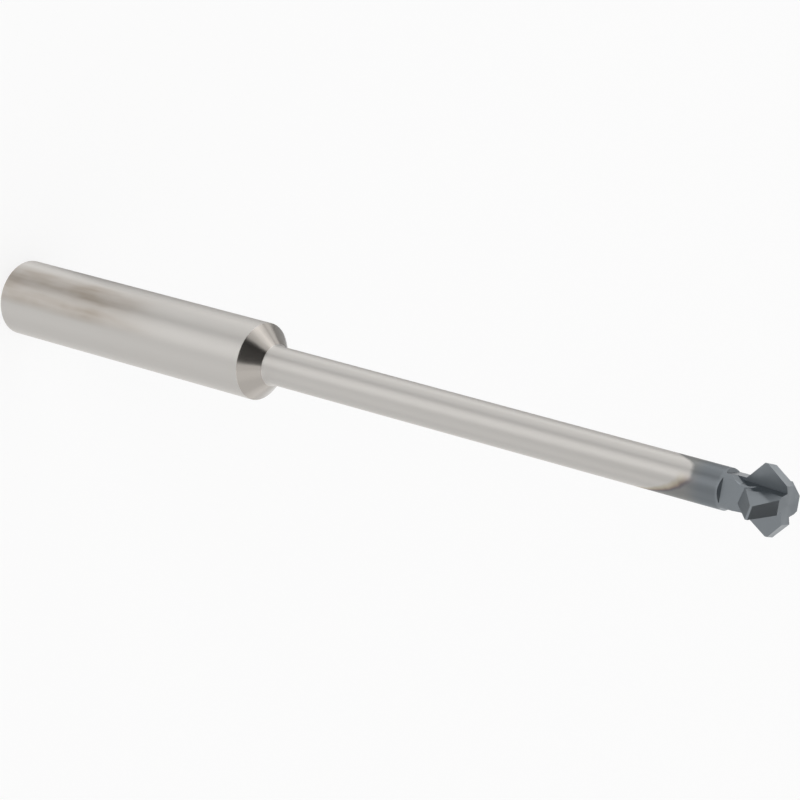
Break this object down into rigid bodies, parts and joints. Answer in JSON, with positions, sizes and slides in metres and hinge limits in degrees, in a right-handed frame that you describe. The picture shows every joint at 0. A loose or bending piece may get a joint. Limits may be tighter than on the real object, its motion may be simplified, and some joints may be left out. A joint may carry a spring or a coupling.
{
  "type": "double-angle cutter",
  "caption": "Solid carbide double-angle milling cutter: round clamping shank, conical shoulder, thin neck and a head of straight V-shaped teeth with a flat front face.",
  "frame": {"origin": "centre of the flat rear face of the shank", "axes": "+Z along the tool's axis, from the rear face to the front face of the head; +X along the first tooth, whose cutting face lies in the XZ plane and faces +Y"},
  "size_m": [0.0064, 0.0064, 0.0762],
  "materials": {
    "carbide": "ground cemented carbide with a fine cross grain, and a dark blue-grey hard coating on the head and the front of the neck"
  },
  "bodies": {
    "root": {"cutter": "carbide"}
  },
  "joints": []
}
